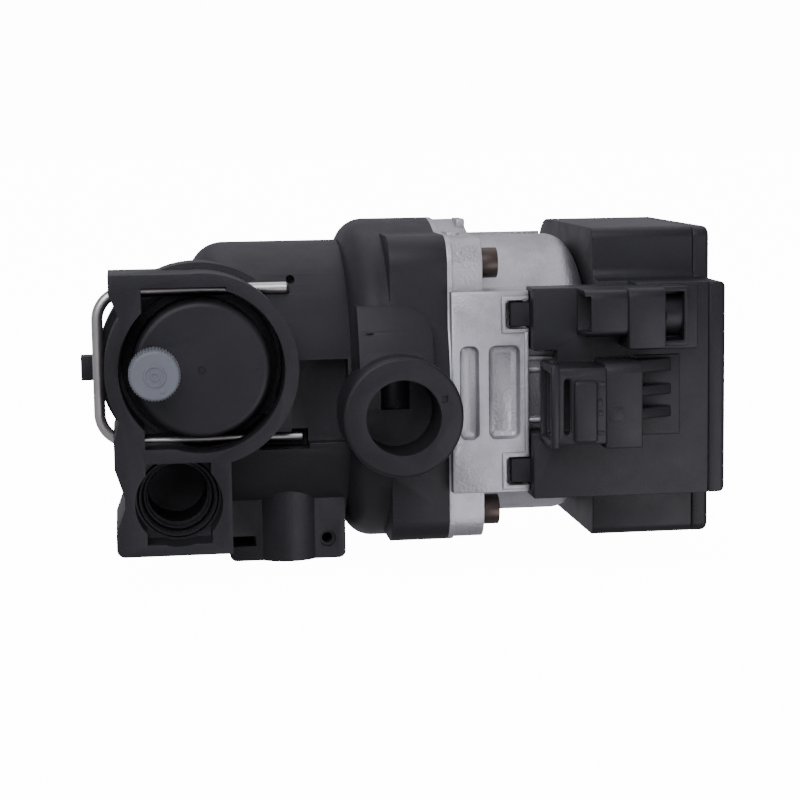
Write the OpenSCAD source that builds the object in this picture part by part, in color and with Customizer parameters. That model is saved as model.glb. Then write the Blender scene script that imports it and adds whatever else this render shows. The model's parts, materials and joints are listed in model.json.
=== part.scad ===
// Boiler circulating pump on a composite hydraulic block with an automatic air vent.
// X runs along the pump shaft towards the electronics, Y from the port side to the back,
// Z up. The origin is on the shaft axis, in the plane of the outlet port's axis.

/* [Pump body] */
// Radius of the air separator barrel
separator_r = 40.5; // [36:0.5:42]
// Length of the separator barrel up to the weld with the volute
separator_len = 43; // [38:1:52]
// Radius of the barrel's rounded closed end
separator_round = 10; // [4:1:14]
// Wall of the plastic mouldings
wall = 3.5; // [3:0.1:4.2]
// Outer radius of the volute
volute_r = 46.5; // [44:0.5:50]
// Distance from the outlet axis to the weld plane
weld_d = 12; // [10:0.5:14]
// Distance from the outlet axis to the joint with the motor
joint_d = 14.5; // [12:0.5:18]
// Radius of the volute's rounded shoulder
volute_round = 8; // [4:1:9]
// Left side of the bolt block, from the outlet axis
block_d = 1.5; // [0:0.5:4]

/* [Bolted joint] */
// Spacing of the four housing screws, both ways
bolt_pitch = 70; // [68:1:80]
// Radius of the lobe round each screw
lobe_r = 8; // [7:0.5:9]
// Nominal screw diameter
screw_d = 5; // [4:1:6]
// Thickness of the aluminium flange
flange_t = 10; // [8:0.5:12]
// Depth of the screw thread in the plastic block
thread_depth = 12; // [8:0.5:14]

/* [Outlet port] */
// Bore of the outlet
outlet_bore_d = 20.6; // [16:0.2:24]
// Outside diameter of the outlet boss
outlet_d = 33; // [28:0.5:36]
// Distance from the shaft axis to the outlet's face
outlet_reach = 58; // [52:1:70]
// Drop of the outlet axis below the shaft axis
outlet_drop = 5; // [0:0.5:8]

/* [Vent chamber] */
// Distance from the outlet axis to the vent axis
vent_d = 53.5; // [50:0.5:58]
// Height of the vent axis above the shaft axis
vent_z = 8; // [4:0.5:9]
// Distance from the shaft axis to the vent frame's front face
front_d = 45; // [42:1:50]
// Outer radius of the vent frame ring
ring_r = 26.5; // [26:0.5:28]
// Radius of the lid's bore in the chamber
lid_bore_r = 21.5; // [20:0.25:22]
// Radius of the lower chamber, where the float runs
float_bore_r = 17; // [15:0.5:18]
// Depth of the ring that holds the lid and the clip
ring_depth = 31; // [28:1:36]
// Full depth of the vent chamber from its front face
chamber_depth = 66; // [60:1:72]

/* [Vent parts] */
// Radius of the lid's front disc
lid_r = 19; // [18:0.25:19.5]
// Distance of the lid's face behind the frame's front face
lid_recess = 2; // [1:0.5:4]
// Diameter of the clip's spring wire
wire_d = 3.2; // [2.5:0.1:3.6]
// Distance between the centre lines of the clip's two legs
clip_span = 42; // [40:0.5:44]
// Depth of the clip behind the frame's front face
clip_depth = 15.4; // [14:0.2:18]
// Diameter of the vent cap
cap_d = 14; // [13:0.5:18]
// Height of the vent cap
cap_h = 11; // [8:0.5:12]
// Distance from the vent axis to the cap's axis
cap_offset = 13; // [12:0.25:14]
// Travel of the float
float_travel = 4; // [2:0.5:5]

/* [Lower ports] */
// Distance from the outlet axis to the clip-in port's axis
side_port_d = 60.7; // [58:0.1:63]
// Drop of the clip-in port's axis below the shaft axis
side_port_drop = 28.5; // [27:0.25:30]
// Bore of the clip-in port
side_bore_d = 17; // [14:0.5:18]
// Bore of the seal seat in the clip-in port
side_seat_d = 20.5; // [19:0.5:22]
// Distance from the outlet axis to the bottom port's axis
foot_port_d = 29.3; // [28:0.1:31]
// Distance of the bottom port's axis in front of the shaft axis
foot_port_y = 17.5; // [15:0.5:20]
// Bore of the bottom port
foot_bore_d = 15; // [12:0.5:16]
// Height of the foot's underside below the shaft axis
foot_drop = 49.4; // [48:0.1:54]

/* [Motor] */
// Outer radius of the aluminium stator housing
can_r = 41; // [39:0.5:43]
// Length of the stator housing behind its flange
can_len = 32.5; // [29:0.5:36]
// Wall of the stator housing
can_wall = 4; // [3:0.25:4.5]
// Reach of the middle front plate from the shaft axis
plate_reach = 47; // [45:0.5:50]
// Length of the middle front plate from the joint
plate_len = 22; // [20:0.5:24]
// Radius of the pump shaft
shaft_r = 3.5; // [3:0.25:4]
// Running clearance of the shaft in its bearings
shaft_gap = 0.05; // [0.02:0.01:0.08]
// Radius of the rotor magnet
rotor_r = 16; // [13:0.5:16.5]
// Radius of the impeller
impeller_r = 25; // [22:0.5:27]

/* [Control box] */
// Half height of the box's wide body
box_half_h = 44; // [42:0.5:48]
// Distance from the shaft axis to the wide body's front
box_front = 35; // [33:0.5:38]
// Distance from the shaft axis to the wide body's back
box_back = 45; // [43:0.5:50]
// Radius of the wide body's long back edges
box_round = 16; // [12:0.5:18]
// Radius of the wide body's long front edges
box_front_round = 3; // [2.5:0.5:5]
// Length of the wide body up to the cover
box_len = 29; // [26:0.5:34]
// Thickness of the end cover
cover_t = 5; // [4:0.25:7]
// Wall of the box and its cover
box_wall = 2; // [1.6:0.1:2.4]
// Distance from the shaft axis to the socket panel
panel_reach = 52; // [50:0.5:56]
// Top and bottom of the socket panel from the shaft axis
panel_half_h = 29.5; // [29:0.5:31]

/* [Hidden] */
$fn = 72;
eps = 0.01;
weld_x = -weld_d;
joint_x = joint_d;
block_x = -block_d;
sep_x = weld_x - separator_len;
vent_x = -vent_d;
front_y = -front_d;
ring_back_y = front_y + ring_depth;
chamber_back_y = front_y + chamber_depth;
chamber_r = float_bore_r + 3;
chamber_head_r = ring_r + 1.8;
recess_x0 = -29;
recess_y = -33;
recess_z0 = -14;
recess_z1 = 9.5;
pocket_x0 = -38;
pocket_x1 = -23.9;
pocket_y = -27.6;
pocket_z = vent_z - clip_span / 2;
pocket_half = 2.6;
outlet_z = -outlet_drop;
spiral_shift = 3.2;
spiral_x1 = 11.2;
spiral_round = 11;
throat_r = 4.5;
throat_z = outlet_z + 19;
bolt_r = screw_d / 2;
bolt_half = bolt_pitch / 2;
lobe_face = bolt_half + lobe_r;

// lid and clip
lid_face_y = front_y + lid_recess;
clip_y = front_y + clip_depth;
wire_r = wire_d / 2;
lid_seat_y = clip_y + wire_r + 0.1;
lid_back_y = lid_seat_y + 7.4;
lid_fit = 0.15;
lid_plate_t = 4;
lid_in_r = lid_r - 3;
o_ring_r = 1.3;
o_ring_y = (lid_seat_y + lid_back_y) / 2;
bracket_left = vent_x - 24.8;
clip_back_x = vent_x - 28.1;
clip_tip_x = vent_x + 25;
clip_tip_step = 3.6;
clip_bend = 8;
clip_flare = 1.6;
clip_end_gap = 0.3;
window_in = 3;
window_lift = 1.4;
chamfer = 0.5;

// cap and valve
cap_x = vent_x - cap_offset;
cap_base_y = lid_face_y - 1.2;
knurls = 48;
knurl_r = 0.3;
washer_t = 1;
washer_seat_r = 2.9;
spout_r = 3.4;
spout_len = 5;
valve_r = 1.4;
valve_gap = 0.05;
valve_lever_gap = 0.35;
seat_y = lid_back_y - 3.6;
pivot_x = cap_x - 4.7;
pivot_y = lid_back_y + 3;
pivot_r = 1;
lever_t = 1.6;
lever_half_w = 1.9;
lever_tip_x = vent_x + 3.5;
float_r = float_bore_r - 1;
float_top_y = lid_back_y + 6.6;
float_gap = 5.4;
float_len = chamber_back_y - wall - float_travel - float_gap - float_top_y;

// ports
side_x = -side_port_d;
side_z = -side_port_drop;
side_left = side_x - 17.3;
side_right = side_x + 14.5;
side_top = vent_z - 19;
side_bottom = -43;
side_back_y = -6;
plug_y = ring_back_y - 4;
plug_r = 2;
plug_z = vent_z - 1.2;
plug_head = 3.4;
chamber_plug = ring_r + 3.2;
foot_x = -foot_port_d;
foot_y = -foot_port_y;
foot_left = side_right;
foot_right = -13;
foot_top = -26.3;
foot_front_y = -25;
foot_back_y = 18;
foot_bottom = -foot_drop;
foot_tube_r = 10.6;
foot_screw_r = 1.5;
foot_screw_x = foot_right - 5.2;
foot_screw_z = foot_bottom + 5.7;

// motor
flange_x1 = joint_x + flange_t;
can_x1 = flange_x1 + can_len;
can_in_r = can_r - can_wall;
rim_t = 1.6;
rim_step = 0.6;
plate_x1 = joint_x + plate_len;
rotor_can_r = rotor_r + 1.4;
rotor_can_t = 0.4;
rotor_can_x1 = can_x1 - 6;
bearing_r = 7;
bearing_len = 5.5;
front_bearing_x1 = joint_x + 2;
plate_seat = 1.2;
rotor_x0 = joint_x + 4;
rotor_x1 = rotor_can_x1 - 8;
stator_x0 = joint_x + 6;
stator_x1 = can_x1 - 16;

// pump chamber
pump_x0 = weld_x + wall;
pump_r = 36;
gasket_r = pump_r + 5;
throat_y = -(pump_r + 1);
eye_r = 11;
impeller_x0 = pump_x0 + 1.2;
impeller_x1 = joint_x - 4;

// control box
box_x0 = can_x1 + 0.2;
box_x1 = box_x0 + box_len;
cover_x1 = box_x1 + cover_t;
panel_x0 = plate_x1 + 0.3;
panel_y = -panel_reach;
panel_back_y = -(can_r + 1);
board_x = box_x1 - 9;
board_t = 1.6;
power_z = -3.5;
power_x0 = panel_x0 + 4.6;
signal_z = 22;
signal_x0 = panel_x0 + 12.6;
button_y = 5;
button_r = 3.2;
switch_h = 3.5;

// ---- helpers ----

module along_x(x0, x1, r) translate([x0, 0, 0]) rotate([0, 90, 0]) cylinder(h = x1 - x0, r = r);

module along_y(x, z, y0, y1, r)
    translate([x, y1, z]) rotate([90, 0, 0]) cylinder(h = y1 - y0, r = r);

module along_z(x, y, z0, z1, r) translate([x, y, z0]) cylinder(h = z1 - z0, r = r);

// a plate whose outline is seen from the front, in X and Z
module front_plate(y0, y1) translate([0, y1, 0]) rotate([90, 0, 0]) linear_extrude(y1 - y0) children();

// a plate whose outline is seen from the end, in Y and Z
module end_plate(x0, x1) translate([x0, 0, 0]) rotate([90, 0, 90]) linear_extrude(x1 - x0) children();

// a turned shape round the shaft axis, from a profile in radius and X
module turn_x() rotate([0, 90, 0]) rotate_extrude() children();

// a turned shape round an axis along Y, from a profile in radius and Y
module turn_y(x, z) translate([x, 0, z]) rotate([-90, 0, 0]) rotate_extrude() children();

module box(x, y, z) translate([x[0], y[0], z[0]]) cube([x[1] - x[0], y[1] - y[0], z[1] - z[0]]);

module rect(x, y) translate([x[0], y[0]]) square([x[1] - x[0], y[1] - y[0]]);

module round_rect(x, y, r) {
    rect([x[0] + r, x[1] - r], y);
    rect(x, [y[0] + r, y[1] - r]);
    for (cx = [x[0] + r, x[1] - r], cy = [y[0] + r, y[1] - r]) translate([cx, cy]) circle(r);
}

// half of a turned drum whose outer edge is rounded at its low end
module rounded_low(r, h0, h1, edge) {
    rect([0, r - edge], [h0, h1]);
    rect([0, r], [h0 + edge, h1]);
    translate([r - edge, h0 + edge]) circle(edge);
}

module rounded_high(r, h0, h1, edge) {
    rect([0, r - edge], [h0, h1]);
    rect([0, r], [h0, h1 - edge]);
    translate([r - edge, h1 - edge]) circle(edge);
}

// half of a turned drum with both outer edges rounded
module rounded_both(r, h0, h1, edge0, edge1) {
    rect([0, r - edge0], [h0, h0 + edge0]);
    rect([0, r], [h0 + edge0, h1 - edge1]);
    rect([0, r - edge1], [h1 - edge1, h1]);
    translate([r - edge0, h0 + edge0]) circle(edge0);
    translate([r - edge1, h1 - edge1]) circle(edge1);
}

module at_bolts() for (y = [-bolt_half, bolt_half], z = [-bolt_half, bolt_half]) translate([0, y, z]) children();

// ---- hydraulic block ----

// the ring with its two clip ears, seen from the front
module frame_outline() {
    translate([vent_x, vent_z]) circle(ring_r);
    bracket_top = vent_z + ring_r - 0.15;
    polygon([[bracket_left, bracket_top], [vent_x, bracket_top], [vent_x, vent_z],
        [bracket_left + 2.8, vent_z + 14.5], [bracket_left, vent_z + 21.5]]);
}

// the clip-in port's block, with its waisted left side
module side_block_outline() {
    polygon([[side_left, side_bottom], [side_left, side_z - 8], [side_left + 2.6, side_z - 1],
        [side_left + 2.6, side_z + 2], [side_left, side_z + 10], [side_left, side_top],
        [vent_x - 22.8, vent_z - 13.5], [vent_x, vent_z - 13.5], [side_right, side_z + 12.5],
        [side_right, side_bottom]]);
}

module chamber_outer() {
    turn_y(vent_x, vent_z) {
        rounded_high(chamber_head_r, clip_y + wire_r + 2, ring_back_y + 6, 6);
        rounded_high(chamber_r, ring_back_y, chamber_back_y, 8);
    }
}

module chamber_bores() {
    along_y(vent_x, vent_z, front_y - eps, ring_back_y, lid_bore_r);
    along_y(vent_x, vent_z, front_y - eps, clip_y + wire_r, lid_bore_r + 1.2);
    along_y(vent_x, vent_z, ring_back_y - eps, chamber_back_y - wall, float_bore_r);
}

// straight slots for the clip's legs, each open to the front over part of its length
module clip_slots() {
    leg = wire_r + 0.15;
    for (side = [-1, 1]) {
        z = vent_z + side * clip_span / 2;
        tip = clip_tip_x + (side < 0 ? clip_tip_step : 0);
        box([bracket_left - 1, tip + clip_end_gap], [clip_y - leg, clip_y + leg], [z - leg, z + leg]);
        box([vent_x - 16, vent_x + 7], [front_y - eps, clip_y + eps],
            side > 0 ? [z - leg - window_in, z + leg] : [z - leg + window_lift, z + leg + window_in]);
        // flare for the bend
        inward = z - side * clip_flare;
        box([bracket_left - 1, bracket_left + 4.6], [clip_y - leg, clip_y + leg],
            [min(z, inward) - leg, max(z, inward) + leg]);
    }
}

module foot() {
    front_plate(foot_front_y, foot_back_y)
        round_rect([foot_left, foot_right], [foot_bottom, foot_top], 2);
    along_z(foot_x, foot_y, foot_bottom, foot_top + 1, foot_tube_r);
}

module side_port_bores() {
    along_y(side_x, side_z, side_back_y - 20, side_back_y - wall, side_bore_d / 2);
    along_y(side_x, side_z, front_y - eps, side_back_y - 19.9, side_seat_d / 2);
    front_plate(front_y - eps, front_y + 11) intersection() {
        union() {
            translate([side_x, side_z]) circle(12);
            rect([side_x - 8.9, side_x + 8.9], [side_z - 11.3, side_z + 11.2]);
        }
        rect([side_x - 13, side_x + 13], [side_z - 12, side_z + 11.2]);
    }
}

module separator_housing() color([0.09, 0.09, 0.1]) difference() {
    union() {
        difference() {
            union() {
                turn_x() rounded_low(separator_r, sep_x, weld_x, separator_round);
                front_plate(front_y, ring_back_y - 5) frame_outline();
                front_plate(front_y, side_back_y) side_block_outline();
                foot();
            }
            turn_x() rounded_low(separator_r - wall, sep_x + wall, weld_x + eps, separator_round - wall);
        }
        intersection() {
            chamber_outer();
            box([vent_x - 30, weld_x - 2], [-60, 40], [-60, 60]);
        }
        // inner wall behind the front recess
        intersection() {
            along_x(sep_x + 12, weld_x, separator_r - 1);
            union() {
                box([recess_x0 - wall, weld_x], [-separator_r, recess_y + wall],
                    [recess_z0 - wall, recess_z1 + wall]);
                box([pocket_x0 - wall, pocket_x1 + wall], [-separator_r, pocket_y + wall],
                    [pocket_z - pocket_half - wall, pocket_z + pocket_half + wall]);
            }
        }
    }
    // front recess, and the pocket round the lower leg's end, both clear of the ring
    difference() {
        union() {
            box([recess_x0, weld_x - 1], [-separator_r - 5, recess_y], [recess_z0, recess_z1]);
            box([pocket_x0, pocket_x1], [-separator_r - 5, pocket_y],
                [pocket_z - pocket_half, pocket_z + pocket_half]);
        }
        along_y(vent_x, vent_z, -60, 0, ring_r + 0.15);
    }
    chamber_bores();
    clip_slots();
    side_port_bores();
    // water ways from the chamber and the clip-in port into the separator
    translate([vent_x, chamber_back_y - 10, vent_z]) rotate([0, 90, 0]) cylinder(h = 24, r = 5);
    translate([side_x, -18, side_z + 7]) rotate([0, 90, 0]) cylinder(h = 16, r = 5);
    // bottom port with its clip slot
    along_z(foot_x, foot_y, foot_bottom - eps, -separator_r + wall + 6, foot_bore_d / 2);
    box([foot_left - eps, foot_left + 7.6], [foot_front_y - eps, foot_y + 14],
        [foot_screw_z - 1.5, foot_screw_z + 1.5]);
    along_y(foot_screw_x, foot_screw_z, foot_front_y - eps, foot_front_y + 12, foot_screw_r);
    along_y(foot_screw_x, foot_screw_z, foot_front_y - eps, foot_front_y + 1.5, 2.4);
    // hole for the side plug
    translate([vent_x - ring_r - 3, plug_y, plug_z]) rotate([0, 90, 0]) cylinder(h = 12, r = plug_r);
}

module side_plug() color([0.1, 0.1, 0.11]) {
    translate([vent_x - chamber_plug, plug_y, plug_z]) rotate([0, 90, 0]) cylinder(h = 8, r = plug_r - 0.05);
    box([vent_x - chamber_plug - plug_head, vent_x - chamber_plug], [plug_y - 3, plug_y + 3],
        [plug_z - plug_head, plug_z + plug_head]);
}

module flange_outline() {
    circle(volute_r);
    round_rect([-lobe_face, lobe_face], [-lobe_face, lobe_face], lobe_r);
}

// the outlet's boss, trimmed to the two joint planes behind its free end
module outlet_boss() difference() {
    along_y(0, outlet_z, -outlet_reach, -20, outlet_d / 2);
    box([joint_x, outlet_d], [-plate_reach - 0.4, 0], [-outlet_d, outlet_d]);
    box([-outlet_d, weld_x], [-separator_r - 0.4, 0], [-outlet_d, outlet_d]);
}

module volute_housing() color([0.09, 0.09, 0.1]) difference() {
    union() {
        turn_x() rounded_low(volute_r, weld_x, joint_x, volute_round);
        end_plate(block_x, joint_x) flange_outline();
        outlet_boss();
        // the spiral's bulge towards the outlet
        translate([0, -spiral_shift, 0]) turn_x() rounded_both(volute_r, weld_x, spiral_x1,
            volute_round, spiral_round);
    }
    along_x(pump_x0, joint_x + eps, pump_r);
    along_x(weld_x - eps, joint_x, eye_r + 2);
    // the outlet's bore ends blind, and a throat leads up from it into the spiral
    along_y(0, outlet_z, -outlet_reach - eps, throat_y - 3, outlet_bore_d / 2);
    along_z(0, throat_y - 5, outlet_z, throat_z, throat_r);
    along_y(0, throat_z, throat_y - 5, -20, throat_r);
    // seats of the bearing plate and its seal
    along_x(joint_x - plate_seat, joint_x + eps, pump_r + 3);
    turn_x() rect([gasket_r - 1.5, gasket_r + 1.5], [joint_x - 2.4, joint_x + eps]);
    at_bolts() along_x(joint_x - thread_depth, joint_x + eps, bolt_r + 0.02);
}

module wear_ring() color([0.75, 0.76, 0.78]) turn_x() {
    rect([eye_r - 1, eye_r + 1.95], [weld_x + 0.3, impeller_x0 - 0.3]);
}

// ---- vent ----

module vent_lid() color([0.1, 0.1, 0.11]) difference() {
    union() {
        turn_y(vent_x, vent_z) {
            rounded_low(lid_r, lid_face_y, lid_seat_y + 1, 2);
            rect([0, lid_bore_r - lid_fit], [lid_seat_y, lid_back_y]);
        }
        // threaded spout for the cap
        along_y(cap_x, vent_z, cap_base_y - spout_len, lid_face_y + 1, spout_r);
        // ears that carry the float lever
        for (side = [-1, 1]) lever_ear(side);
    }
    difference() {
        along_y(vent_x, vent_z, lid_face_y + lid_plate_t, lid_back_y + eps, lid_in_r);
        along_y(cap_x, vent_z, lid_face_y, seat_y, spout_r + 0.4);
    }
    along_y(cap_x, vent_z, cap_base_y - spout_len - eps, lid_back_y + eps, valve_r + valve_gap);
    // groove for the sealing ring
    turn_y(vent_x, vent_z) rect([lid_bore_r - 2 * o_ring_r - 0.05, lid_bore_r + 1],
        [o_ring_y - o_ring_r - 0.2, o_ring_y + o_ring_r + 0.2]);
    translate([pivot_x, pivot_y, vent_z - 8]) cylinder(h = 16, r = pivot_r);
}

module lever_ear(side) {
    z = vent_z + side * (lever_half_w + 1.5);
    box([pivot_x - 2, pivot_x + 2], [lid_back_y - 1, pivot_y + 2.2], [z - 1, z + 1]);
}

module lid_o_ring() color([0.05, 0.05, 0.05]) turn_y(vent_x, vent_z)
    translate([lid_bore_r - o_ring_r - 0.02, o_ring_y]) circle(o_ring_r);

// spring wire bent to a U, its legs running through the ring
module vent_clip() color([0.66, 0.66, 0.64]) {
    half = clip_span / 2;
    for (side = [-1, 1]) {
        z = vent_z + side * half;
        tip = clip_tip_x + (side < 0 ? clip_tip_step : 0);
        translate([clip_back_x + clip_bend, clip_y, z]) rotate([0, 90, 0])
            cylinder(h = tip - clip_back_x - clip_bend - chamfer, r = wire_r);
        translate([tip - chamfer, clip_y, z]) rotate([0, 90, 0])
            cylinder(h = chamfer, r1 = wire_r, r2 = wire_r - chamfer);
        translate([clip_back_x + clip_bend, clip_y, z - side * clip_bend]) rotate([90, 0, 0])
            rotate([0, 0, side > 0 ? 90 : 180]) rotate_extrude(angle = 90) translate([clip_bend, 0]) circle(wire_r);
    }
    along_z(clip_back_x, clip_y, vent_z - half + clip_bend, vent_z + half - clip_bend, wire_r);
}

module vent_cap() color([0.42, 0.46, 0.5]) difference() {
    union() {
        turn_y(cap_x, vent_z) rounded_low(cap_d / 2 - knurl_r, cap_base_y - cap_h, cap_base_y, 0.8);
        for (i = [0 : knurls - 1]) translate([cap_x, 0, vent_z]) rotate([0, i * 360 / knurls, 0])
            along_y(cap_d / 2 - knurl_r, 0, cap_base_y - cap_h + 1.4, cap_base_y - 0.6, knurl_r);
    }
    along_y(cap_x, vent_z, cap_base_y - spout_len - 0.4, cap_base_y + eps, spout_r + 0.3);
    along_y(cap_x, vent_z, cap_base_y - spout_len - washer_t - 0.1, cap_base_y, washer_seat_r + 0.05);
}

module cap_washer() color([0.06, 0.06, 0.06]) turn_y(cap_x, vent_z) {
    top = cap_base_y - spout_len - 0.05;
    rect([0, washer_seat_r], [top - washer_t, top]);
}

module valve_pin() color([0.8, 0.79, 0.72]) {
    along_y(cap_x, vent_z, lid_face_y + 1, seat_y + 1.4, valve_r);
    along_y(cap_x, vent_z, seat_y + 1.4, seat_y + 2.6, 2.8);
    along_y(cap_x, vent_z, seat_y + 2.6, pivot_y - lever_t / 2 - valve_lever_gap, 1);
}

module valve_seal() color([0.07, 0.07, 0.07]) turn_y(cap_x, vent_z)
    rect([valve_r + 0.02, 2.8], [seat_y + 0.1, seat_y + 1.38]);

module float_lever() color([0.83, 0.82, 0.76]) difference() {
    union() {
        box([pivot_x, lever_tip_x], [pivot_y - lever_t / 2, pivot_y + lever_t / 2],
            [vent_z - lever_half_w, vent_z + lever_half_w]);
        along_z(pivot_x, pivot_y, vent_z - lever_half_w, vent_z + lever_half_w, 2);
    }
    along_z(pivot_x, pivot_y, vent_z - 8, vent_z + 8, pivot_r + 0.05);
}

module lever_pin() color([0.7, 0.71, 0.73])
    along_z(pivot_x, pivot_y, vent_z - lever_half_w - 2.5, vent_z + lever_half_w + 2.5, pivot_r);

module vent_float() color([0.9, 0.88, 0.8]) {
    turn_y(vent_x, vent_z) rounded_high(float_r, float_top_y, float_top_y + float_len, 3);
    along_y(vent_x, vent_z, pivot_y + lever_t / 2 + 0.3, float_top_y + 1, 1.5);
}

// ---- rotor and pump ----

module impeller() color([0.85, 0.8, 0.62]) difference() {
    union() {
        // rear disc and hub
        along_x(impeller_x1 - 2, impeller_x1, impeller_r);
        along_x(impeller_x0 + 2, impeller_x1, shaft_r + 3);
        // front shroud with its eye
        turn_x() {
            rect([eye_r - 1, impeller_r], [impeller_x0 + 4, impeller_x0 + 5.6]);
            rect([eye_r - 1, eye_r + 0.6], [impeller_x0, impeller_x0 + 5]);
        }
        // swept-back vanes
        intersection() {
            for (i = [0 : 5]) rotate([i * 60, 0, 0]) translate([0, 0, shaft_r + 5]) rotate([-38, 0, 0])
                box([impeller_x0 + 4.8, impeller_x1 - 1], [-0.7, 0.7], [0, impeller_r]);
            along_x(impeller_x0, impeller_x1, impeller_r - 0.3);
        }
    }
    along_x(impeller_x0 - 1, impeller_x1 + 1, shaft_r + 0.01);
}

module shaft() color([0.9, 0.9, 0.88]) along_x(impeller_x0 + 1, rotor_can_x1 - 1, shaft_r);

module thrust_collar() color([0.2, 0.2, 0.22]) turn_x()
    rect([shaft_r + 0.01, shaft_r + 3.2], [front_bearing_x1 + 0.2, rotor_x0]);

module rotor_magnet() color([0.72, 0.73, 0.75]) turn_x()
    rect([shaft_r + 0.01, rotor_r], [rotor_x0, rotor_x1]);

// ---- motor ----

module bearing_plate() color([0.76, 0.77, 0.78]) turn_x() {
    rect([bearing_r + 0.8, pump_r + 2.95], [joint_x - plate_seat, joint_x]);
    rect([bearing_r, bearing_r + 0.8], [front_bearing_x1 - bearing_len, joint_x]);
}

module front_bearing() color([0.28, 0.28, 0.3]) turn_x()
    rect([shaft_r + shaft_gap, bearing_r], [front_bearing_x1 - bearing_len, front_bearing_x1]);

module rear_bearing() color([0.28, 0.28, 0.3]) turn_x()
    rect([shaft_r + shaft_gap, bearing_r], [rotor_x1 + 0.5, rotor_can_x1 - 0.5]);

module flange_gasket() color([0.05, 0.05, 0.05]) turn_x()
    translate([gasket_r, joint_x - 1.15]) circle(1.15);

module rotor_can() color([0.78, 0.79, 0.8]) turn_x() {
    rect([rotor_can_r, rotor_can_r + rotor_can_t], [joint_x, rotor_can_x1]);
    rect([rotor_can_r, can_in_r - 0.5], [joint_x, joint_x + rotor_can_t]);
    rect([0, rotor_can_r + rotor_can_t], [rotor_can_x1 - 0.5, rotor_can_x1]);
    rect([bearing_r, rotor_can_r + 0.1], [rotor_can_x1 - 3, rotor_can_x1]);
}

module stator_core() color([0.5, 0.51, 0.53]) {
    bore_r = rotor_can_r + rotor_can_t + 0.1;
    difference() {
        end_plate(stator_x0, stator_x1) difference() {
            circle(can_in_r - 0.02);
            circle(can_in_r - 4);
        }
    }
    end_plate(stator_x0, stator_x1) difference() {
        union() {
            for (i = [0 : 8]) rotate(i * 40) rect([bore_r, can_in_r - 3.9], [-2.5, 2.5]);
            for (i = [0 : 8]) rotate(i * 40) rect([bore_r, bore_r + 2], [-4.6, 4.6]);
        }
        circle(bore_r);
    }
}

// one coil on each stator tooth
module stator_windings() color([0.72, 0.4, 0.2])
    for (i = [0 : 8]) rotate([i * 40, 0, 0]) {
        y0 = rotor_can_r + rotor_can_t + 2.6;
        y1 = can_in_r - 5;
        difference() {
            box([stator_x0 - 3, stator_x1 + 3], [y0, y1], [-4.2, 4.2]);
            box([stator_x0 - 0.1, stator_x1 + 0.1], [y0 - 1, y1 + 1], [-2.6, 2.6]);
        }
    }

// the two pockets in the middle front plate
module plate_pockets() {
    front_plate(-plate_reach - eps, -plate_reach + 3.2) {
        round_rect([joint_x + 2.7, joint_x + 8], [-13.3, 12.8], 2);
        round_rect([joint_x + 10.8, joint_x + 19.5], [-13.3, 12.8], 2);
    }
}

// the two notches that the box's hooks reach through
module plate_notches() {
    for (z = [21.3, -22.3]) front_plate(-plate_reach - 1, -can_r + 1.5)
        round_rect([plate_x1 - 6.5, plate_x1 + 6], [z - 3.9, z + 3.9], 1.5);
}

// the flange behind its rim, set in by the rim's step
module stepped_flange_outline() {
    half = lobe_face - rim_step;
    circle(volute_r - rim_step);
    round_rect([-half, half], [-half, half], lobe_r - rim_step);
}

module motor_shell() {
    end_plate(joint_x, joint_x + rim_t) flange_outline();
    end_plate(joint_x + rim_t / 2, flange_x1) stepped_flange_outline();
    turn_x() rounded_high(can_r, joint_x + rim_t / 4, can_x1, 7);
    // middle front plate
    box([joint_x + rim_t / 3, plate_x1], [-plate_reach, -20], [-28.2, 27.8]);
    // cable gland boss that enters the box
    box([plate_x1 - 1, plate_x1 + 8], [-(can_r + 3), -30], [-10.8, 11]);
    // cooling fins above and below
    for (side = [0, 180], i = [-2 : 2]) rotate([side + i * 5 - 12 * cos(side), 0, 0])
        box([flange_x1 - 1, can_x1 - 8], [-0.5, 0.5], [can_r - 1, can_r + 0.8]);
}

module motor_housing() color([0.72, 0.72, 0.73]) difference() {
    motor_shell();
    along_x(joint_x - eps, can_x1 - can_wall, can_in_r);
    along_x(can_x1 - can_wall - 1, can_x1 + 1, 8);
    plate_pockets();
    plate_notches();
    at_bolts() along_x(joint_x - 1, flange_x1 + 1, bolt_r + 0.25);
}

// four socket head cap screws
module housing_screws() color([0.12, 0.1, 0.09]) at_bolts() difference() {
    union() {
        along_x(joint_x - thread_depth + 1, flange_x1, bolt_r);
        along_x(flange_x1, flange_x1 + screw_d, screw_d * 0.85);
    }
    translate([flange_x1 + screw_d * 0.5, 0, 0]) rotate([0, 90, 0]) cylinder(h = screw_d, r = screw_d * 0.46, $fn = 6);
}

// ---- control box ----

// the wide body's outline, seen from the end, its back corners rounder than its front ones
module wide_outline(inset) {
    y0 = -box_front + inset;
    y1 = box_back - inset;
    h = box_half_h - inset;
    front_r = max(box_front_round - inset, 0.8);
    back_r = box_round - inset;
    rect([y0 + front_r, y1 - back_r], [-h, h]);
    rect([y0, y1], [back_r - h, h - back_r]);
    rect([y0, y1 - back_r], [front_r - h, h - front_r]);
    for (side = [-1, 1]) {
        translate([y0 + front_r, side * (h - front_r)]) circle(front_r);
        translate([y1 - back_r, side * (h - back_r)]) circle(back_r);
    }
}

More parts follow.
